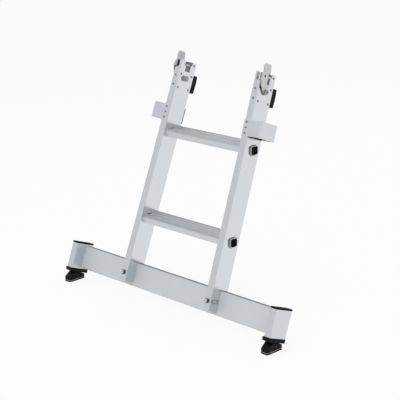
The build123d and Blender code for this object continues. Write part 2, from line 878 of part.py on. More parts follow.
with BuildPart() as pivot_washer:
    with BuildSketch(side_plane(stile_width / 2)):
        with Locations(latch_pivot):
            Circle(pivot_washer_radius)
            Circle(pivot_radius + bolt_play, mode=Mode.SUBTRACT)
    extrude(amount=pivot_washer_thickness)
save_pair(pivot_washer.part, "pivot_washer")

with BuildPart() as pivot_nut:
    with BuildSketch(side_plane(nut_face)):
        with Locations(latch_pivot):
            RegularPolygon(pivot_nut_size / 2, 6, major_radius=False)
            Circle(pivot_radius + pivot_fit, mode=Mode.SUBTRACT)
    extrude(amount=-pivot_nut_height)
save_pair(pivot_nut.part, "pivot_nut")

# Rear pad: bowed block on the rear face of the stile head, held by two sunk screws
pad_rear = stile_depth + pad_thickness
screw_seat = pad_rear - screw_sink
with BuildPart() as pad:
    with BuildSketch(side_plane(0)):
        with BuildLine():
            Polyline(
                (pad_rear, pad_bottom),
                (stile_depth, pad_bottom),
                (stile_depth, pad_top),
                (pad_rear, pad_top),
            )
            ThreePointArc(
                (pad_rear, pad_top),
                (pad_rear + pad_bow, (pad_bottom + pad_top) / 2),
                (pad_rear, pad_bottom),
            )
        bow = make_face()
        fillet(bow.vertices().group_by(Axis.X)[-1], pad_round)
    extrude(amount=pad_width / 2, both=True)
    with BuildSketch(face_plane(screw_seat, 1)):
        with Locations(*pad_screws_at):
            Circle(screw_head + rivet_fit)
    extrude(amount=pad_thickness, mode=Mode.SUBTRACT)
    with BuildSketch(face_plane(screw_seat, 1)):
        with Locations(*pad_screws_at):
            Circle(screw_radius + rivet_fit)
    extrude(amount=-pad_thickness, mode=Mode.SUBTRACT)
save_pair(pad.part, "rear_pad")

with BuildPart() as screws:
    with BuildSketch(face_plane(screw_seat, 1)):
        with Locations(*pad_screws_at):
            Circle(screw_head)
    extrude(amount=screw_head_height)
    with BuildSketch(face_plane(screw_seat, 1)):
        with Locations(*pad_screws_at):
            Circle(screw_radius)
    extrude(amount=stile_depth - stile_wall - screw_grip + slide_fit - screw_seat)
save(both_sides(screws.part), "pad_screws")
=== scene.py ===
import json
from math import cos, pi, radians, sin

import bmesh
import bpy
from mathutils import Matrix, Vector


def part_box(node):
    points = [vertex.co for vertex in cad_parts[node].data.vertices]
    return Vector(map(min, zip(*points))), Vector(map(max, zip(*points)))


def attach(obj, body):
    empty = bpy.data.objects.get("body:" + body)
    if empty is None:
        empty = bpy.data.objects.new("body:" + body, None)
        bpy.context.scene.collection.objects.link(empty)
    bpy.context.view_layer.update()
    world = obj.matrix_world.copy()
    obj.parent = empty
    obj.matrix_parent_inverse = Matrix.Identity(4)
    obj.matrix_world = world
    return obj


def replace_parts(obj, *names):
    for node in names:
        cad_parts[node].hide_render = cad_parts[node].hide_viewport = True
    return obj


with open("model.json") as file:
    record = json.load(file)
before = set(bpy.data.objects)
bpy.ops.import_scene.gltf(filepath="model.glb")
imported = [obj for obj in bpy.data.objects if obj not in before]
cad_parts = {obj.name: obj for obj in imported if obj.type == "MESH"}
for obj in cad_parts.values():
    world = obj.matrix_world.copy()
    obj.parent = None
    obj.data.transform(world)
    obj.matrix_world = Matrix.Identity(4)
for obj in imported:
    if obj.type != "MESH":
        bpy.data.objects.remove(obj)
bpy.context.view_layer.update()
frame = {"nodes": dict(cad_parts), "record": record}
nodes = frame["nodes"]
scene = bpy.context.scene
mm = 0.001
print("frame loaded,", len(nodes), "nodes")

# How the right stile stands (half its width in millimetres), and its directions across, behind and along
stance = {"lean": radians(20), "taper": radians(1.44), "foot": Vector((0.183, -0.146979, 0.0605)),
          "halfWidth": 12.0}
lean, taper = stance["lean"], stance["taper"]
depthWay = Vector((0, cos(lean), -sin(lean)))
riseWay = Vector((0, sin(lean), cos(lean)))
acrossWay = Vector((1, 0, 0)) * cos(taper) + riseWay * sin(taper)
alongWay = riseWay * cos(taper) - Vector((1, 0, 0)) * sin(taper)

# Where the steps begin in front and end on top
stepBoxes = [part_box(name) for name in ("lower_step", "upper_step")]
stepFronts = [low.y for low, high in stepBoxes]
stepTops = [high.z for low, high in stepBoxes]


class Wire:  # a node socket that takes part in Python maths
    def __init__(self, tree, socket=None):
        self.tree = tree
        self.socket = socket

    def add(self, kind, settings=None, sockets=None, out=0):
        made = self.tree.nodes.new(kind)
        for name, value in (settings or {}).items():
            setattr(made, name, value)
        for name, value in (sockets or {}).items():
            if isinstance(value, Wire):
                self.tree.links.new(value.socket, made.inputs[name])
            else:
                made.inputs[name].default_value = value
        return Wire(self.tree, made.outputs[out] if made.outputs else None)

    def math(self, operation, first, second=0.0):
        return self.add("ShaderNodeMath", {"operation": operation}, {0: first, 1: second})

    def __add__(self, other):
        return self.math("ADD", self, other)

    def __radd__(self, other):
        return self.math("ADD", other, self)

    def __sub__(self, other):
        return self.math("SUBTRACT", self, other)

    def __rsub__(self, other):
        return self.math("SUBTRACT", other, self)

    def __mul__(self, other):
        return self.math("MULTIPLY", self, other)

    def __rmul__(self, other):
        return self.math("MULTIPLY", other, self)

    def __abs__(self):
        return self.math("ABSOLUTE", self)

    def larger(self, other):
        return self.math("MAXIMUM", self, other)

    def between(self, low, high):  # 0 below low, 1 above high, soft in the middle
        sockets = {"Value": self, "From Min": low, "From Max": high}
        return self.add("ShaderNodeMapRange", {"interpolation_type": "SMOOTHSTEP"}, sockets)

    def past(self, start, fade):  # the same, with its two limits counted from a start
        return self.between(start + fade[0], start + fade[1])

    def within(self, low, high, fade):  # 1 between two limits
        return self.between(low, low + fade) * (1.0 - self.between(high - fade, high))

    def blend(self, first, second):  # two colours mixed by this value
        return self.add("ShaderNodeMix", {"data_type": "RGBA"}, {0: self, 6: first, 7: second}, out=2)

    def part(self, axis):  # one coordinate of a vector
        return self.add("ShaderNodeSeparateXYZ", None, {"Vector": self}, out=axis)

    def dot(self, way):  # how far a vector goes along a direction
        return self.add("ShaderNodeVectorMath", {"operation": "DOT_PRODUCT"}, {0: self, 1: way}, out="Value")


# What all finishes share
surface = {"edgeSamples": 8, "edgeMask": (0.01, 0.2), "shadeSamples": 8, "toneMask": (0.3, 0.7),
           "streakShare": 0.45, "bumpDepth": 0.0003}


def startMaterial(name):
    material = bpy.data.materials.new(name)
    material.use_nodes = True
    material.node_tree.nodes.clear()
    return material, Wire(material.node_tree)


def endFinish(root, look, grain, clouds, rounded, sockets):  # uneven gloss and fine bumps, then the shader
    relief = {"Strength": look["bump"], "Distance": surface["bumpDepth"], "Height": grain, "Normal": rounded}
    sockets["Normal"] = root.add("ShaderNodeBump", None, relief)
    sockets["Roughness"] = (grain + clouds - 1.0) * look["roughVary"] + look["rough"]
    shader = root.add("ShaderNodeBsdfPrincipled", None, sockets)
    root.add("ShaderNodeOutputMaterial", None, {"Surface": shader})


def objectPlace(root):
    return root.add("ShaderNodeTexCoord", out="Object")


def noise(place, scale, detail):
    return place.add("ShaderNodeTexNoise", None, {"Vector": place, "Scale": scale, "Detail": detail})


def drawnNoise(place, size, tilt, detail):  # noise whose features have a size in metres
    sockets = {"Vector": place, "Rotation": (tilt, 0, 0), "Scale": size}
    drawn = place.add("ShaderNodeMapping", {"vector_type": "TEXTURE"}, sockets)
    return noise(drawn, 1.0, detail)


def softEdges(root, radius):  # rounded edge normal, and a mask that is 1 on the edges
    rounded = root.add("ShaderNodeBevel", {"samples": surface["edgeSamples"]}, {"Radius": radius})
    plain = root.add("ShaderNodeNewGeometry", out="Normal")
    return rounded, (1.0 - rounded.dot(plain)).between(*surface["edgeMask"])


def facing(root, way):  # how far the surface looks along a direction
    return root.add("ShaderNodeNewGeometry", out="True Normal").dot(way)


def stileSpot(place):  # metres across, behind and along a stile, alike on both sides
    sockets = {"X": abs(place.part("X")), "Y": place.part("Y"), "Z": place.part("Z")}
    folded = place.add("ShaderNodeCombineXYZ", None, sockets)
    offset = place.add("ShaderNodeVectorMath", {"operation": "SUBTRACT"}, {0: folded, 1: stance["foot"]})
    return [offset.dot(way) for way in (acrossWay, depthWay, alongWay)]


def treadShadeAndLanes(place, look, colour):  # step tops painted darker as the shade of their grooves, in lanes of uneven tone
    height = place.part("Z")
    lanes = drawnNoise(place, look["lanes"], tilt=0.0, detail=1.0).between(*look["laneMask"])
    worn = lanes.blend(look["treadDark"], look["treadLight"])
    for top in look["tops"]:
        crown = height.past(top, look["crown"]) * (1.0 - height.past(top, look["over"]))
        colour = crown.blend(colour, worn)
    return colour


def stepMarks(place, look, colour, metal):  # painted shade on a step's upper front edge, as on a rounded nosing, and along its rear edge
    behind, height = place.part("Y"), place.part("Z")
    for top, front, nosingShadeColour in zip(look["tops"], look["fronts"], look["rimColours"]):
        below = 1.0 - height.past(top, look["over"])
        rim = height.past(top, look["rim"]) * (1.0 - behind.past(front, look["rimDepth"]))
        dirt = height.past(top, look["dirt"]) * behind.past(front, look["dirtDepth"])
        # painted shade on the upper front edge, darker on the lower step
        colour = (below * rim).blend(colour, nosingShadeColour)
        # painted shade along the rear edge of the tread
        colour = (below * dirt).blend(colour, look["dirtColour"])
    return colour, metal


def stileMarks(place, look, colour, metal):  # painted light on the tube's inside, painted shade low in the pocket, painted reflection tint on the sides at the crossbeam
    across, depth, along = stileSpot(place)
    inside = across.within(*look["insideWidth"]) * depth.within(*look["insideDepth"])
    strip = across.between(*look["outerSide"]) * along.within(*look["strip"])
    flank = abs(across).between(*look["outerSide"]) * (1.0 - along.between(*look["flank"]))
    # painted light: the tube's inside is a paler, matte copy of the aluminium, brightening its shade
    colour = inside.blend(colour, look["insideColour"])
    # painted shade low on the outer wall inside the pocket, seen below its lower edge
    colour = strip.blend(colour, look["stripColour"])
    # painted reflection: a greener tint on the stile's sides next to the crossbeam
    colour = flank.blend(colour, look["flankColour"])
    return colour, metal - inside * (metal - look["insideMetal"])


def beamMarks(place, look, colour, metal):  # upper faces painted darker, as painted shade
    upper = facing(place, (0, 0, 1)).between(*look["dustFacing"])
    return upper.blend(colour, look["dust"]), metal


def pocketMarks(place, look, colour, metal):  # painted shade on the inner ends of the rear flange and inside the sheet
    across, depth = stileSpot(place)[:2]
    end = (1.0 - across.between(*look["ends"])) * depth.between(*look["rearFlange"])
    colour = end.blend(colour, look["endColour"])
    settings = {"samples": surface["shadeSamples"], "only_local": True}
    clear = place.add("ShaderNodeAmbientOcclusion", settings, {"Distance": look["shadeReach"]}, out="AO")
    return clear.between(*look["shadeMask"]).blend(look["shadeColour"], colour), metal


def castingMarks(place, look, colour, metal):  # paler outer face
    across = stileSpot(place)[0]
    return across.between(*look["outward"]).blend(colour, look["outwardColour"]), metal


def leverMarks(place, look, colour, metal):  # painted shade on the front edge and in and round the small hole, a darker side towards the stile, and painted light on it in the open front of the head
    across, depth, along = stileSpot(place)
    ahead = facing(place, -depthWay).between(*look["frontFacing"])
    # painted shade on the front-facing edge, fading out higher up
    colour = (ahead * (1.0 - along.between(*look["cutFade"]))).blend(colour, look["cut"])
    # painted shadow, black, in one stretch of that edge
    colour = (ahead * along.within(*look["black"])).blend(colour, look["shade"])
    # painted shade in the small hole and in a ring round it
    sideways, upward = depth - look["hole"][0], along - look["hole"][1]
    far = sideways * sideways + upward * upward
    holeShade = 1.0 - far.between(look["holeRim"][0] ** 2, look["holeRim"][1] ** 2)
    colour = holeShade.blend(colour, look["shade"])
    inside = 1.0 - across.between(*look["inward"])
    colour = (inside * look["inwardShare"]).blend(colour, look["inwardColour"])
    # painted light: a pale, matte stretch of the side towards the stile in the open front of the head
    litStretch = inside * along.within(*look["open"]) * (1.0 - depth.between(*look["openDepth"]))
    colour = litStretch.blend(colour, look["openColour"])
    return colour, metal - litStretch * (metal - look["openMetal"])


def bandMarks(place, look, colour, metal):  # stretches of another colour, by their depth in the stile: painted shade, and on the sleeves an even pale stretch
    depth = stileSpot(place)[1]
    for low, high, fade, bandColour in look["bands"]:
        colour = depth.within(low, high, fade).blend(colour, bandColour)
    return colour, metal


def noseMarks(place, look, colour):  # paler where the bar rubs, and painted light on top; the guard's front in its own colour
    depth, along = stileSpot(place)[1:]
    behind, above = depth.between(*look["tip"]), along.between(*look["top"])
    guard = facing(place, -depthWay).between(*look["frontFacing"]) * (1.0 - behind)
    colour = behind.larger(above).blend(colour, look["tipColour"])
    return guard.blend(colour, look["frontColour"])


def metalFinish(name, look):
    material, root = startMaterial(name)
    place = objectPlace(root)
    streaks = drawnNoise(place, look["grain"], look["tilt"], detail=4.0)
    clouds = noise(place, look["clouds"], detail=2.0)
    rounded, edges = softEdges(root, look["edge"])
    tone = streaks * surface["streakShare"] + clouds * (1.0 - surface["streakShare"])
    colour = tone.between(*surface["toneMask"]).blend(look["dark"], look["light"])
    metal = look["metal"]
    if "lanes" in look:
        colour = treadShadeAndLanes(place, look, colour)
    colour = (edges * look["edgeWear"]).blend(colour, look["bright"])
    if "marks" in look:
        colour, metal = look["marks"](place, look, colour, metal)
    endFinish(root, look, streaks, clouds, rounded, {"Base Color": colour, "Metallic": metal})
    return material


def plasticFinish(name, look):
    material, root = startMaterial(name)
    place = objectPlace(root)
    grain = noise(place, look["grain"], detail=2.0)
    clouds = noise(place, look["clouds"], detail=3.0)
    rounded, edges = softEdges(root, look["edge"])
    colour = clouds.between(*surface["toneMask"]).blend(look["dark"], look["light"])
    if "tip" in look:
        colour = noseMarks(place, look, colour)
    colour = (edges * look["edgeWear"]).blend(colour, look["worn"])
    sockets = {"Base Color": colour, "Specular IOR Level": look["shine"]}
    endFinish(root, look, grain, clouds, rounded, sockets)
    return material


# Aluminium and steel. The grain is a size in metres, long in the way that the piece was drawn. Marks lie at
# metres across, behind and along a stile, and a step's at metres from its top and its front
beamLook = {
    "tilt": -lean, "grain": (0.12, 0.0009, 0.0009), "clouds": 8.0, "edge": 0.0008,
    "dark": (0.650, 0.672, 0.708, 1), "light": (0.680, 0.702, 0.738, 1),
    "bright": (0.74, 0.755, 0.78, 1), "edgeWear": 0.35,
    "rough": 0.36, "roughVary": 0.06, "bump": 0.02, "metal": 1.0}
metalLooks = {
    "stile_aluminium": {
        "tilt": -lean, "grain": (0.0009, 0.0009, 0.12), "clouds": 9.0, "edge": 0.0008,
        "dark": (0.675, 0.695, 0.730, 1), "light": (0.705, 0.725, 0.760, 1),
        "bright": (0.76, 0.775, 0.80, 1), "edgeWear": 0.15,
        "rough": 0.20, "roughVary": 0.05, "bump": 0.02, "metal": 1.0, "marks": stileMarks,
        "insideWidth": (-0.011, 0.011, 0.0004), "insideDepth": (0.0012, 0.0688, 0.0004),
        # painted light inside the tube: a pale, matte colour
        "insideColour": (0.82, 0.86, 0.815, 1), "insideMetal": 0.05, "outerSide": (0.0115, 0.0118),
        # painted shade low inside the pocket
        "strip": (0.5251, 0.5315, 0.0010), "stripColour": (0.065, 0.065, 0.068, 1),
        # painted reflection tint on the sides next to the crossbeam
        "flank": (0.045, 0.080), "flankColour": (0.640, 0.690, 0.695, 1)},
    "beam_aluminium": beamLook,
    "beamMatt": {
        **beamLook, "edgeWear": 0.15, "rough": 0.58, "metal": 0.12, "marks": beamMarks,
        # painted shade on the upper faces
        "dustFacing": (0.86, 0.93), "dust": (0.20, 0.205, 0.21, 1)},
    "step_aluminium": {
        "tilt": 0.0, "grain": (0.10, 0.0007, 0.0007), "clouds": 14.0, "edge": 0.0006,
        "dark": (0.620, 0.638, 0.670, 1), "light": (0.655, 0.673, 0.705, 1),
        "bright": (0.74, 0.75, 0.77, 1), "edgeWear": 0.35,
        "rough": 0.38, "roughVary": 0.08, "bump": 0.03, "metal": 1.0, "marks": stepMarks,
        "tops": stepTops, "crown": (-0.0016, -0.0006), "over": (0.001, 0.002),
        # painted shade on the tread tops, in lanes of uneven tone
        "lanes": (0.5, 0.008, 0.02), "laneMask": (0.35, 0.65),
        "treadDark": (0.54, 0.55, 0.575, 1), "treadLight": (0.66, 0.67, 0.705, 1),
        # painted shade on the front edge of each step
        "fronts": stepFronts, "rim": (-0.0085, -0.0005), "rimDepth": (0.001, 0.004),
        "rimColours": [(0.425, 0.435, 0.46, 1), (0.50, 0.51, 0.535, 1)],
        # painted shade along the rear edge
        "dirt": (-0.003, -0.002), "dirtDepth": (0.060, 0.064), "dirtColour": (0.47, 0.475, 0.49, 1)},
    "sheet_aluminium": {
        "tilt": -lean, "grain": (0.0012, 0.0012, 0.03), "clouds": 30.0, "edge": 0.0007,
        "dark": (0.655, 0.677, 0.712, 1), "light": (0.690, 0.712, 0.745, 1),
        "bright": (0.76, 0.775, 0.80, 1), "edgeWear": 0.15,
        "rough": 0.36, "roughVary": 0.08, "bump": 0.03, "metal": 1.0, "marks": pocketMarks,
        # painted shade on the flange ends and inside the pocket
        "ends": (-0.0056, -0.0051), "rearFlange": (0.055, 0.060), "endColour": (0.08, 0.08, 0.085, 1),
        "shadeReach": 0.05, "shadeMask": (0.3, 0.75), "shadeColour": (0.12, 0.122, 0.13, 1)},
    "cast_aluminium": {
        "tilt": -lean, "grain": (0.0011, 0.0011, 0.0011), "clouds": 60.0, "edge": 0.0007,
        "dark": (0.36, 0.37, 0.395, 1), "light": (0.48, 0.49, 0.52, 1),
        "bright": (0.56, 0.57, 0.60, 1), "edgeWear": 0.4,
        "rough": 0.42, "roughVary": 0.14, "bump": 0.16, "metal": 0.7, "marks": castingMarks,
        "outward": (0.0041, 0.0045), "outwardColour": (0.84, 0.85, 0.92, 1)},
    "latch_metal": {
        "tilt": -lean, "grain": (0.0010, 0.0010, 0.012), "clouds": 70.0, "edge": 0.0006,
        "dark": (0.545, 0.555, 0.560, 1), "light": (0.610, 0.620, 0.625, 1),
        "bright": (0.66, 0.67, 0.68, 1), "edgeWear": 0.3,
        "rough": 0.38, "roughVary": 0.10, "bump": 0.05, "metal": 1.0, "marks": leverMarks,
        # painted shade and shadow on the front edge
        "frontFacing": (0.3, 0.5), "cut": (0.29, 0.292, 0.295, 1), "cutFade": (0.706, 0.722),
        "black": (0.671, 0.686, 0.005), "shade": (0.012, 0.012, 0.013, 1),
        "hole": (0.013, 0.7125), "holeRim": (0.0033, 0.0036),
        "inward": (0.0131, 0.0136), "inwardShare": 0.8, "inwardColour": (0.44, 0.45, 0.455, 1),
        # painted light in the open front of the head
        "open": (0.700, 0.722, 0.003), "openDepth": (0.012, 0.016),
        "openColour": (0.92, 0.93, 0.93, 1), "openMetal": 0.0},
    "plated_steel": {
        "tilt": 0.0, "grain": (0.0006, 0.0006, 0.0006), "clouds": 120.0, "edge": 0.0004,
        "dark": (0.30, 0.31, 0.325, 1), "light": (0.41, 0.42, 0.435, 1),
        "bright": (0.52, 0.53, 0.54, 1), "edgeWear": 0.5,
        "rough": 0.30, "roughVary": 0.14, "bump": 0.04, "metal": 1.0},
    # painted light: a pale copy of the plated steel for the sleeves in the dark slot
    "sleeveLit": {
        "tilt": 0.0, "grain": (0.0006, 0.0006, 0.0006), "clouds": 120.0, "edge": 0.0004,
        "dark": (0.72, 0.73, 0.74, 1), "light": (0.78, 0.79, 0.80, 1),
        "bright": (0.80, 0.81, 0.82, 1), "edgeWear": 0.3,
        "rough": 0.45, "roughVary": 0.08, "bump": 0.03, "metal": 0.2, "marks": bandMarks,
        # painted shade at the sleeve's front end, then an even pale stretch
        "bands": [(-0.0100, 0.0190, 0.0040, (0.26, 0.265, 0.27, 1)),
                  (0.0300, 0.0600, 0.0040, (0.74, 0.75, 0.76, 1))]},
    "nutDull": {
        "tilt": 0.0, "grain": (0.0006, 0.0006, 0.0006), "clouds": 120.0, "edge": 0.0006,
        "dark": (0.32, 0.325, 0.335, 1), "light": (0.40, 0.405, 0.415, 1),
        "bright": (0.46, 0.465, 0.47, 1), "edgeWear": 0.4,
        "rough": 0.52, "roughVary": 0.10, "bump": 0.04, "metal": 0.3},
    "nutBright": {
        "tilt": 0.0, "grain": (0.0006, 0.0006, 0.0006), "clouds": 120.0, "edge": 0.0004,
        "dark": (0.50, 0.51, 0.52, 1), "light": (0.60, 0.61, 0.62, 1),
        "bright": (0.70, 0.71, 0.72, 1), "edgeWear": 0.5,
        "rough": 0.14, "roughVary": 0.06, "bump": 0.02, "metal": 1.0, "marks": bandMarks,
        # painted shade on the hex part next to the stile
        "bands": [(-0.0085, 0.0200, 0.0007, (0.05, 0.05, 0.052, 1))]},
    "rivet_metal": {
        "tilt": 0.0, "grain": (0.0007, 0.0007, 0.0007), "clouds": 150.0, "edge": 0.0004,
        "dark": (0.20, 0.205, 0.22, 1), "light": (0.30, 0.305, 0.32, 1),
        "bright": (0.50, 0.51, 0.53, 1), "edgeWear": 0.4,
        "rough": 0.36, "roughVary": 0.14, "bump": 0.05, "metal": 1.0},
    "spring_steel": {
        "tilt": -lean, "grain": (0.0004, 0.0004, 0.02), "clouds": 80.0, "edge": 0.0003,
        "dark": (0.16, 0.16, 0.17, 1), "light": (0.27, 0.27, 0.28, 1),
        "bright": (0.5, 0.5, 0.51, 1), "edgeWear": 0.5,
        "rough": 0.30, "roughVary": 0.12, "bump": 0.04, "metal": 1.0},
}

# Plastic, rubber and the coated pins
noseLook = {
    "grain": 1900.0, "clouds": 60.0, "edge": 0.0007, "dark": (0.010, 0.010, 0.011, 1),
    "light": (0.018, 0.018, 0.019, 1), "worn": (0.06, 0.06, 0.063, 1), "edgeWear": 0.5,
    "rough": 0.46, "roughVary": 0.16, "bump": 0.20, "shine": 0.2,
    # paler where the bar rubs, and painted light on top
    "tip": (0.022, 0.028), "top": (0.7105, 0.7125), "tipColour": (0.18, 0.18, 0.19, 1),
    "frontFacing": (0.5, 0.7), "frontColour": (0.012, 0.012, 0.013, 1)}
plasticLooks = {
    "black_plastic": {
        "grain": 1900.0, "clouds": 40.0, "edge": 0.0009, "dark": (0.0030, 0.0030, 0.0033, 1),
        "light": (0.0055, 0.0055, 0.0060, 1), "worn": (0.020, 0.020, 0.021, 1), "edgeWear": 0.6,
        "rough": 0.46, "roughVary": 0.16, "bump": 0.22, "shine": 0.10},
    "plugBlack": {
        "grain": 1900.0, "clouds": 40.0, "edge": 0.0009, "dark": (0.0014, 0.0014, 0.0016, 1),
        "light": (0.0026, 0.0026, 0.0029, 1), "worn": (0.009, 0.009, 0.010, 1), "edgeWear": 0.5,
        "rough": 0.50, "roughVary": 0.16, "bump": 0.20, "shine": 0.03},
    "noseBlack": noseLook,
    # painted light: the right nose's guard front in a light grey
    "noseLitFront": {**noseLook, "frontColour": (0.18, 0.18, 0.19, 1)},
    # grey rings standing in as painted shade round the step tubes
    "shadeRingGrey": {
        "grain": 1300.0, "clouds": 55.0, "edge": 0.0006, "dark": (0.11, 0.11, 0.112, 1),
        "light": (0.14, 0.14, 0.143, 1), "worn": (0.18, 0.18, 0.183, 1), "edgeWear": 0.4,
        "rough": 0.62, "roughVary": 0.16, "bump": 0.20, "shine": 0.2},
    "pad_rubber": {
        "grain": 1300.0, "clouds": 55.0, "edge": 0.0010, "dark": (0.0035, 0.0035, 0.0035, 1),
        "light": (0.0065, 0.0065, 0.0065, 1), "worn": (0.018, 0.018, 0.019, 1), "edgeWear": 0.5,
        "rough": 0.62, "roughVary": 0.16, "bump": 0.30, "shine": 0.16},
    "tread_rubber": {
        "grain": 1000.0, "clouds": 70.0, "edge": 0.0008, "dark": (0.006, 0.006, 0.006, 1),
        "light": (0.012, 0.012, 0.012, 1), "worn": (0.035, 0.035, 0.035, 1), "edgeWear": 0.5,
        "rough": 0.70, "roughVary": 0.16, "bump": 0.35, "shine": 0.2},
    "sole_grey": {
        "grain": 1500.0, "clouds": 60.0, "edge": 0.0004, "dark": (0.36, 0.36, 0.36, 1),
        "light": (0.46, 0.46, 0.46, 1), "worn": (0.56, 0.56, 0.56, 1), "edgeWear": 0.5,
        "rough": 0.50, "roughVary": 0.14, "bump": 0.15, "shine": 0.4},
    "black_steel": {
        "grain": 1600.0, "clouds": 90.0, "edge": 0.0004, "dark": (0.006, 0.006, 0.006, 1),
        "light": (0.011, 0.011, 0.011, 1), "worn": (0.03, 0.03, 0.03, 1), "edgeWear": 0.4,
        "rough": 0.40, "roughVary": 0.12, "bump": 0.08, "shine": 0.3},
}

finishes = {name: metalFinish(name, look) for name, look in metalLooks.items()}
finishes.update({name: plasticFinish(name, look) for name, look in plasticLooks.items()})
ownFinish = {  # nodes that look a little different from the rest of their slot
    "crossbeam": "beamMatt", "beam_nuts": "nutBright", "stile_sleeves": "sleeveLit",
    "left_pivot_nut": "nutDull", "right_pivot_nut": "nutDull",
    "lower_step_plugs": "plugBlack", "upper_step_plugs": "plugBlack",
    "left_tube_cap": "plugBlack", "right_tube_cap": "plugBlack",
    "left_latch_nose": "noseBlack", "right_latch_nose": "noseLitFront"}
for row in frame["record"]["subparts"]:
    nodeMesh = nodes[row["node"]].data
    nodeMesh.materials.clear()
    nodeMesh.materials.append(finishes[ownFinish.get(row["node"], row["material_slot"])])
print("finishes made:", len(finishes))


def onSide(vector, side):
    return Vector((vector.x * side, vector.y, vector.z))


def stilePoint(across, depth, along, side):  # millimetres across, behind and along a stile
    point = stance["foot"] + (acrossWay * across + depthWay * depth + alongWay * along) * mm
    return onSide(point, side)


def middlePoint(depth, along):  # the same in the middle between the stiles
    return onSide(stance["foot"], 0) + (depthWay * depth + riseWay * along) * mm


def plainMesh(name, points, edges=(), faces=()):
    mesh = bpy.data.meshes.new(name)
    mesh.from_pydata(points, edges, faces)
    return mesh


def meshObject(name, mesh):
    made = bpy.data.objects.new(name, mesh)
    scene.collection.objects.link(made)
    return made


def keepPiece(name, mesh, body):
    piece = meshObject(name, mesh)
    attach(piece, body)
    return piece


def lathe(name, profile, steps):  # profile points are radius and height in millimetres
    shape = bmesh.new()
    line = [shape.verts.new((radius * mm, 0, height * mm)) for radius, height in profile]
    edges = [shape.edges.new(pair) for pair in zip(line, line[1:])]
    bmesh.ops.spin(shape, geom=line + edges, cent=(0, 0, 0), axis=(0, 0, 1), angle=2 * pi, steps=steps)
    bmesh.ops.remove_doubles(shape, verts=shape.verts, dist=1e-7)
    bmesh.ops.recalc_face_normals(shape, faces=shape.faces)
    mesh = bpy.data.meshes.new(name)
    shape.to_mesh(mesh)
    shape.free()
    mesh.shade_smooth()
    return mesh


def startTree(name, inputs):
    tree = bpy.data.node_groups.new(name, "GeometryNodeTree")
    tree.interface.new_socket("Geometry", in_out="INPUT", socket_type="NodeSocketGeometry")
    for label, kind in inputs.items():
        tree.interface.new_socket(label, in_out="INPUT", socket_type=kind)
    tree.interface.new_socket("Geometry", in_out="OUTPUT", socket_type="NodeSocketGeometry")
    root = Wire(tree)
    given = {label: root.add("NodeGroupInput", out=label) for label in ("Geometry", *inputs)}
    return root, given


def endTree(root, shape, finish):
    whole = root.add("GeometryNodeRealizeInstances", None, {"Geometry": shape})
    painted = root.add("GeometryNodeSetMaterial", None, {"Geometry": whole, "Material": finish})
    root.add("NodeGroupOutput", None, {"Geometry": painted})
    return root.tree


def nodesToMesh(source, tree, values):  # runs a Geometry Nodes tree on an object, gives a plain mesh
    modifier = source.modifiers.new(tree.name, "NODES")
    modifier.node_group = tree
    for item in tree.interface.items_tree:
        if item.in_out == "INPUT" and item.name in values:
            modifier[item.identifier] = values[item.name]
    view = bpy.context.evaluated_depsgraph_get()
    mesh = bpy.data.meshes.new_from_object(source.evaluated_get(view), depsgraph=view)
    source.modifiers.remove(modifier)
    bpy.data.objects.remove(source)
    return mesh


# Blind rivets in millimetres: domed heads with the dimple of the broken mandrel
rivets = {
    "headRadius": 3.6, "headHeight": 1.6, "rimInset": 0.25, "rimHeight": 0.2, "domeShare": 0.7,
    "domeTurns": (0, 0.25, 0.5, 0.75, 1.0, 1.2), "shankRadius": 2.0, "shankLength": 4.0,
    "dimpleRadius": 1.15, "dimpleDepth": 0.7, "dimpleLip": 0.12, "dimpleTaper": 0.9, "coneShare": 0.8,
    "steps": 24, "size": 1.0, "seed": 7,
    "sides": [(11.5, 636), (59, 636), (59, 679), (59, 714.5)],  # depth and height
    "innerSide": [(11.5, 679)],  # one more on the inner side
    "front": [642.5, 672.5], "pocket": [535.5, 552.5, 569.5],  # heights
    "pocketFaces": [(-3, -1), (73, 1)]}  # depth, and forwards or backwards


def rivetShape():
    head, tall, dome = rivets["headRadius"], rivets["headHeight"], rivets["domeShare"]
    shank, low = rivets["shankRadius"], -rivets["shankLength"]
    hole, deep, lip = rivets["dimpleRadius"], rivets["dimpleDepth"], rivets["dimpleLip"]
    profile = [(0, low), (shank, low), (shank, 0)]
    profile += [(head - rivets["rimInset"], 0), (head, rivets["rimHeight"])]
    for turn in rivets["domeTurns"]:
        profile.append((head * cos(turn), tall * (1 - dome + dome * sin(turn))))
    profile += [(hole + lip, tall), (hole, tall - lip)]
    profile += [(hole * rivets["dimpleTaper"], tall - deep), (0, tall - deep * rivets["coneShare"])]
    return meshObject("rivetShape", lathe("rivetShape", profile, rivets["steps"]))


def rivetTree():
    root, given = startTree("rivetRows", {
        "Rivet": "NodeSocketObject", "Size": "NodeSocketFloat", "Finish": "NodeSocketMaterial"})
    shape = root.add("GeometryNodeObjectInfo", None, {
        "Object": given["Rivet"], "As Instance": True}, out="Geometry")
    way = root.add("GeometryNodeInputNamedAttribute", {"data_type": "FLOAT_VECTOR"}, {"Name": "facing"})
    turn = root.add("FunctionNodeAlignRotationToVector", {"axis": "Z"}, {"Vector": way})
    spin = root.add("FunctionNodeRandomValue", {"data_type": "FLOAT_VECTOR"}, {
        0: (0, 0, 0), 1: (0, 0, 2 * pi), "Seed": rivets["seed"]})
    rows = root.add("GeometryNodeInstanceOnPoints", None, {
        "Points": given["Geometry"], "Instance": shape, "Rotation": turn, "Scale": given["Size"]})
    turned = root.add("GeometryNodeRotateInstances", None, {"Instances": rows, "Rotation": spin})
    return endTree(root, turned, given["Finish"])


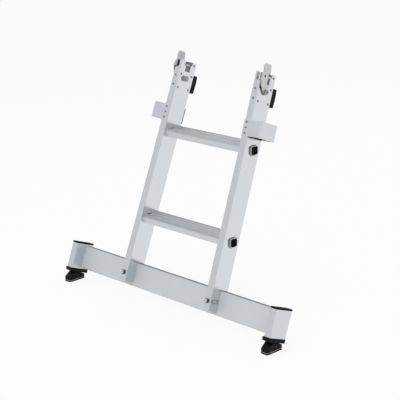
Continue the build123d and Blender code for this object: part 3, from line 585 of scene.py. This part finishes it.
def rivetSeats(name, seats):  # points that know which way they face
    mesh = plainMesh(name, [point for point, way in seats])
    ways = mesh.attributes.new("facing", "FLOAT_VECTOR", "POINT")
    for spot, (point, way) in zip(ways.data, seats):
        spot.vector = way
    return meshObject(name, mesh)


headSeats = []
pocketSeats = []
half = stance["halfWidth"]
for side in (-1, 1):
    outward = onSide(acrossWay, side)
    for depth, along in rivets["sides"]:
        headSeats.append((stilePoint(half, depth, along, side), outward))
    for depth, along in rivets["sides"] + rivets["innerSide"]:
        headSeats.append((stilePoint(-half, depth, along, side), -outward))
    headSeats += [(stilePoint(0, 0, along, side), -depthWay) for along in rivets["front"]]
    for depth, sign in rivets["pocketFaces"]:
        pocketSeats += [(stilePoint(0, depth, along, side), depthWay * sign) for along in rivets["pocket"]]

rivetNodes = rivetTree()
rivetValues = {"Rivet": rivetShape(), "Size": rivets["size"], "Finish": finishes["rivet_metal"]}
rivetRows = [("headRivets", "head_rivets", headSeats), ("pocketRivets", "pocket_rivets", pocketSeats)]
for name, kind, seats in rivetRows:
    rivetMesh = nodesToMesh(rivetSeats(name + "Seats", seats), rivetNodes, rivetValues)
    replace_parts(keepPiece(name, rivetMesh, "ladder"), "left_" + kind, "right_" + kind)
bpy.data.objects.remove(rivetValues["Rivet"])
print("rivets set:", len(headSeats) + len(pocketSeats))

# A bead along a path, for the welds and the shade rings
bead = {"ringSides": 10, "cornerSteps": 6}


def beadTree():
    root, given = startTree("beadRun", {
        "Radius": "NodeSocketFloat", "Ripple": "NodeSocketFloat", "Wave": "NodeSocketFloat",
        "Step": "NodeSocketFloat", "Finish": "NodeSocketMaterial"})
    path = root.add("GeometryNodeMeshToCurve", None, {"Mesh": given["Geometry"]})
    fine = root.add("GeometryNodeResampleCurve", {"mode": "LENGTH"}, {
        "Curve": path, "Length": given["Step"]})
    count = root.add("GeometryNodeInputIndex")
    size = root.math("SINE", count * given["Wave"]) * given["Ripple"] + 1.0
    ring = root.add("GeometryNodeCurvePrimitiveCircle", None, {
        "Resolution": bead["ringSides"], "Radius": given["Radius"]})
    run = root.add("GeometryNodeCurveToMesh", None, {
        "Curve": fine, "Profile Curve": ring, "Scale": size, "Fill Caps": True})
    return endTree(root, run, given["Finish"])


beadNodes = beadTree()


def cornerTurns(start, sweep):  # the angles of a rounded corner
    steps = bead["cornerSteps"]
    return [start + sweep * step / steps for step in range(steps + 1)]


def beadMesh(name, path, closed, sizes, finish):
    count = len(path)
    edges = [(spot, (spot + 1) % count) for spot in range(count if closed else count - 1)]
    values = {"Radius": sizes["radius"] * mm, "Ripple": sizes["ripple"], "Wave": sizes["wave"],
              "Step": sizes["step"] * mm, "Finish": finish}
    return nodesToMesh(meshObject(name, plainMesh(name, path, edges)), beadNodes, values)


# Weld runs in millimetres, which join the ends of the crossbeam to the end tubes
welds = {"front": 40.0, "rear": 66.0, "low": -10.5, "high": 65.0, "corner": 4.0,
         "radius": 1.1, "ripple": 0.12, "wave": 1.4, "step": 0.7}
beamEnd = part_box("crossbeam")[1].x


def weldPath(side):
    rear, low, high, corner = welds["rear"], welds["low"], welds["high"], welds["corner"]
    spots = [(rear, low)]
    for along, start in ((low + corner, 1.5 * pi), (high - corner, pi)):
        for turn in cornerTurns(start, -pi / 2):
            spots.append((welds["front"] + corner * (1 + cos(turn)), along + corner * sin(turn)))
    spots.append((rear, high))
    end = Vector((side * beamEnd, 0, 0))
    return [middlePoint(depth, along) + end for depth, along in spots]


for label, side in (("left", -1), ("right", 1)):
    weldMesh = beadMesh(label + "WeldPath", weldPath(side), False, welds, finishes["beam_aluminium"])
    weldMesh.shade_smooth()
    keepPiece(label + "Weld", weldMesh, "ladder")
print("welds run")

# Grey rings in millimetres round the core tubes of the steps, on the outside of the stiles: a dark piece put
# there as painted shade where the tubes leave the stiles
shadeRings = {"coreBack": 31.0, "coreDrop": 16.25, "lift": 0.5, "halfWidth": 15.8, "halfHeight": 15.05,
         "corner": 7.8, "radius": 1.1, "ripple": 0.0, "wave": 0.0, "step": 1.2}


def sealPath(front, top, side):  # rounded rectangle round a core tube, laid on the stile's outer face
    middle = Vector((0, front, top)) + Vector((0, shadeRings["coreBack"], -shadeRings["coreDrop"])) * mm
    faceSpot = stilePoint(stance["halfWidth"], 0, 0, 1)
    corner = shadeRings["corner"]
    wide, tall = shadeRings["halfWidth"] - corner, shadeRings["halfHeight"] - corner
    points = []
    for quarter, (signY, signZ) in enumerate(((1, 1), (-1, 1), (-1, -1), (1, -1))):
        for turn in cornerTurns(quarter * pi / 2, pi / 2):
            y = signY * wide + corner * cos(turn)
            z = signZ * tall + corner * sin(turn)
            spot = middle + Vector((0, y, z)) * mm
            x = (faceSpot - spot).dot(acrossWay) / acrossWay.x + shadeRings["lift"] * mm
            points.append(spot + Vector((side * x, 0, 0)))
    return points


shadeRingShape = bmesh.new()
for front, top in zip(stepFronts, stepTops):
    for side in (-1, 1):
        ring = beadMesh("sealPath", sealPath(front, top, side), True, shadeRings, finishes["shadeRingGrey"])
        shadeRingShape.from_mesh(ring)
shadeRingMesh = bpy.data.meshes.new("stepSeals")
shadeRingShape.to_mesh(shadeRingMesh)
shadeRingShape.free()
shadeRingMesh.materials.append(finishes["shadeRingGrey"])
shadeRingMesh.shade_smooth()
keepPiece("stepSeals", shadeRingMesh, "ladder")
print("seals laid:", 2 * len(stepBoxes))

# Floor, light and camera
studio = {
    "floorSize": 60.0, "floorDark": (0.92, 0.92, 0.92, 1), "floorLight": (0.94, 0.94, 0.94, 1),
    "floorClouds": 0.6, "floorGlow": 0.9, "fill": 0.62,
    "lamps": {
        "key": {"place": (0.6, -1.8, 4.4), "size": 3.6, "power": 40.0},
        "front": {"place": (1.2, -3.9, 2.4), "size": 2.6, "power": 14.0},
        "back": {"place": (-0.8, 3.2, 3.2), "size": 2.8, "power": 14.0}},
    "cards": {
        "front": {"turn": (-78, 96), "rise": (-6, 33), "far": 4.0, "steps": 8, "tone": 0.77},
        "rearLeft": {"turn": (-156, -116), "rise": (-6, 32), "far": 4.0, "steps": 8, "tone": 0.74},
        "high": {"turn": (62, 112), "rise": (34, 64), "far": 4.0, "steps": 8, "tone": 0.03}}}
shot = {"lookAt": Vector((0.161814, -0.146979, 0.394623)), "turn": 44.0015, "rise": 16.0036,
        "distance": 3.321965, "lens": 103.6575, "sensor": 36.0, "clipEnd": 200.0}


def wayTo(turn, rise):  # direction from the middle, in degrees round from the front and up
    turn, rise = radians(turn), radians(rise)
    return Vector((sin(turn) * cos(rise), -cos(turn) * cos(rise), sin(rise)))


def seenRays(root):  # 1 for camera, glossy and transmission rays
    names = ("Is Camera Ray", "Is Glossy Ray", "Is Transmission Ray")
    camera, glossy, through = [root.add("ShaderNodeLightPath", out=name) for name in names]
    return camera.larger(glossy.larger(through))


def makeFloor():
    material, root = startMaterial("paleFloor")
    clouds = noise(objectPlace(root), studio["floorClouds"], detail=2.0)
    matt = root.add("ShaderNodeBsdfDiffuse", None, {
        "Color": clouds.blend(studio["floorDark"], studio["floorLight"])})
    glow = root.add("ShaderNodeEmission", None, {"Color": (1, 1, 1, 1), "Strength": 1.0})
    white = seenRays(root) * studio["floorGlow"]
    shown = root.add("ShaderNodeMixShader", None, {0: white, 1: matt, 2: glow})
    root.add("ShaderNodeOutputMaterial", None, {"Surface": shown})
    reach = studio["floorSize"] / 2
    corners = [(-reach, -reach, 0), (reach, -reach, 0), (reach, reach, 0), (-reach, reach, 0)]
    floor = meshObject("floor", plainMesh("floor", corners, faces=[(0, 1, 2, 3)]))
    floor.data.materials.append(material)


def makeCard(name, card):  # grey panel that only reflections see
    material, root = startMaterial(name)
    glow = root.add("ShaderNodeEmission", None, {"Color": (card["tone"],) * 3 + (1,), "Strength": 1.0})
    root.add("ShaderNodeOutputMaterial", None, {"Surface": glow})
    start, end = card["turn"]
    corners = []
    for step in range(card["steps"] + 1):
        turn = start + (end - start) * step / card["steps"]
        corners += [shot["lookAt"] + wayTo(turn, rise) * card["far"] for rise in card["rise"]]
    faces = [(spot, spot + 2, spot + 3, spot + 1) for spot in range(0, 2 * card["steps"], 2)]
    panel = meshObject(name, plainMesh(name, corners, faces=faces))
    panel.data.materials.append(material)
    panel.visible_camera = False
    panel.visible_diffuse = False
    panel.visible_transmission = False
    panel.visible_shadow = False


def makeLight():
    world = bpy.data.worlds.new("studio")
    world.use_nodes = True
    world.node_tree.nodes.clear()
    scene.world = world
    root = Wire(world.node_tree)
    light = root.add("ShaderNodeBackground", None, {"Color": (1, 1, 1, 1), "Strength": studio["fill"]})
    white = root.add("ShaderNodeBackground", None, {"Color": (1, 1, 1, 1), "Strength": 1.0})
    both = root.add("ShaderNodeMixShader", None, {0: seenRays(root), 1: light, 2: white})
    root.add("ShaderNodeOutputWorld", None, {"Surface": both})
    for name, lamp in studio["lamps"].items():
        data = bpy.data.lights.new(name, "AREA")
        data.shape = "SQUARE"
        data.size = lamp["size"]
        data.energy = lamp["power"]
        made = bpy.data.objects.new(name, data)
        made.location = lamp["place"]
        made.rotation_euler = (shot["lookAt"] - made.location).to_track_quat("-Z", "Y").to_euler()
        scene.collection.objects.link(made)


def makeCamera():
    data = bpy.data.cameras.new("shot")
    data.sensor_width = shot["sensor"]
    data.lens = shot["lens"]
    data.clip_end = shot["clipEnd"]
    back = wayTo(shot["turn"], shot["rise"])
    right = wayTo(shot["turn"] + 90, 0)
    axes = Matrix((right, back.cross(right), back)).transposed().to_4x4()
    camera = bpy.data.objects.new("shot", data)
    camera.matrix_world = Matrix.Translation(shot["lookAt"] + back * shot["distance"]) @ axes
    scene.collection.objects.link(camera)
    scene.camera = camera


makeFloor()
for name, card in studio["cards"].items():
    makeCard(name + "Card", card)
makeLight()
makeCamera()
scene.view_settings.view_transform = "Standard"
print("studio ready")
